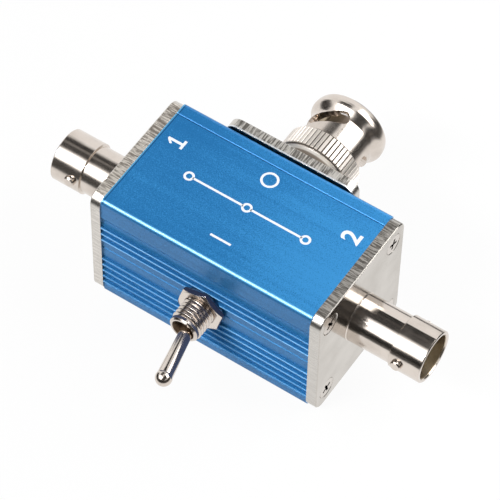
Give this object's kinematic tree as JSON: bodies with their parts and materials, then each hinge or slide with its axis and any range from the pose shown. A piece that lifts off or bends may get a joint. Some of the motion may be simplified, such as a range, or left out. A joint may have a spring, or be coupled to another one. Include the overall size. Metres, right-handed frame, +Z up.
{
  "type": "coaxial antenna switch",
  "caption": "Small blue ribbed box with a bat toggle in front, a bayonet coaxial socket on each end and a bayonet coaxial plug at the back, for switching an antenna between two sets.",
  "frame": {"origin": "centre of the box's underside", "axes": "+X along the box from one socket to the other, -Y out of the toggle side, +Y out of the plug side, +Z up"},
  "size_m": [0.0738, 0.0625, 0.026],
  "materials": {
    "blue_anodised": "bright azure anodised, lightly grained",
    "nickel": "bright nickel plate",
    "insulator": "waxy white fluoroplastic",
    "contact_silver": "silver plate, slightly dull",
    "steel": "zinc and nickel plated steel",
    "tinned_brass": "tin plate, satin",
    "gasket_rubber": "matt amber silicone rubber",
    "red_plastic": "moulded thermoset, matt",
    "white_plastic": "natural acetal",
    "wire_sleeve": "white fluoroplastic sleeve"
  },
  "bodies": {
    "housing": {"upper_shell": "blue_anodised", "lower_shell": "blue_anodised", "left_jack_body": "nickel", "left_jack_insulator": "insulator", "left_jack_contact": "contact_silver", "left_jack_lock_washer": "steel", "left_jack_tag": "tinned_brass", "left_jack_nut": "nickel", "left_end_plate": "nickel", "left_plate_screws": "steel", "right_jack_body": "nickel", "right_jack_insulator": "insulator", "right_jack_contact": "contact_silver", "right_jack_lock_washer": "steel", "right_jack_tag": "tinned_brass", "right_jack_nut": "nickel", "right_end_plate": "nickel", "right_plate_screws": "steel", "plug_plate": "nickel", "plug_plate_screws": "steel", "plug_body": "nickel", "plug_insulator": "insulator", "plug_pin": "contact_silver", "plug_wave_spring": "steel", "plug_retaining_ring": "steel", "plug_gasket": "gasket_rubber", "plug_lock_washer": "steel", "plug_tag": "tinned_brass", "plug_nut": "nickel", "toggle_bushing": "nickel", "toggle_nut": "nickel", "toggle_lock_washer": "steel", "toggle_frame": "steel", "toggle_case": "red_plastic", "terminal_left": "contact_silver", "terminal_common": "contact_silver", "terminal_right": "contact_silver", "wire_left": "wire_sleeve", "wire_right": "wire_sleeve", "wire_common": "wire_sleeve", "ground_wire": "tinned_brass"},
    "lever": {"toggle_lever": "nickel", "toggle_plunger_spring": "steel"},
    "plunger": {"toggle_plunger": "white_plastic"},
    "rocker": {"toggle_rocker": "contact_silver"},
    "coupling_carrier": {"plug_thrust_washer": "steel"},
    "coupling": {"coupling_nut": "nickel"}
  },
  "joints": [
    {"name": "lever_throw", "type": "hinge", "parent": "housing", "child": "lever", "pos_m": [0, -0.0154, 0.013], "axis": [0, 0, 1], "range_deg": [-24, 0]},
    {"name": "rocker_rock", "type": "hinge", "parent": "housing", "child": "rocker", "pos_m": [0, -0.0045, 0.013], "axis": [0, 0, 1], "range_deg": [0, 18]},
    {"name": "plunger_press", "type": "slide", "parent": "lever", "child": "plunger", "axis": [0.2079, -0.9781, 0], "range_m": [0, 0.0005], "stiffness_N_per_m": 300, "springref_m": -0.001, "deforming": ["toggle_plunger_spring"]},
    {"name": "coupling_pull", "type": "slide", "parent": "housing", "child": "coupling_carrier", "axis": [0, 1, 0], "range_m": [0, 0.001], "stiffness_N_per_m": 8000, "springref_m": -0.0005, "deforming": ["plug_wave_spring"]},
    {"name": "coupling_turn", "type": "hinge", "parent": "coupling_carrier", "child": "coupling", "pos_m": [0, 0.0192, 0.013], "axis": [0, 1, 0], "continuous": true}
  ],
  "couplings": [
    {"joint": "rocker_rock", "follows": "lever_throw", "ratio": -0.75}
  ]
}
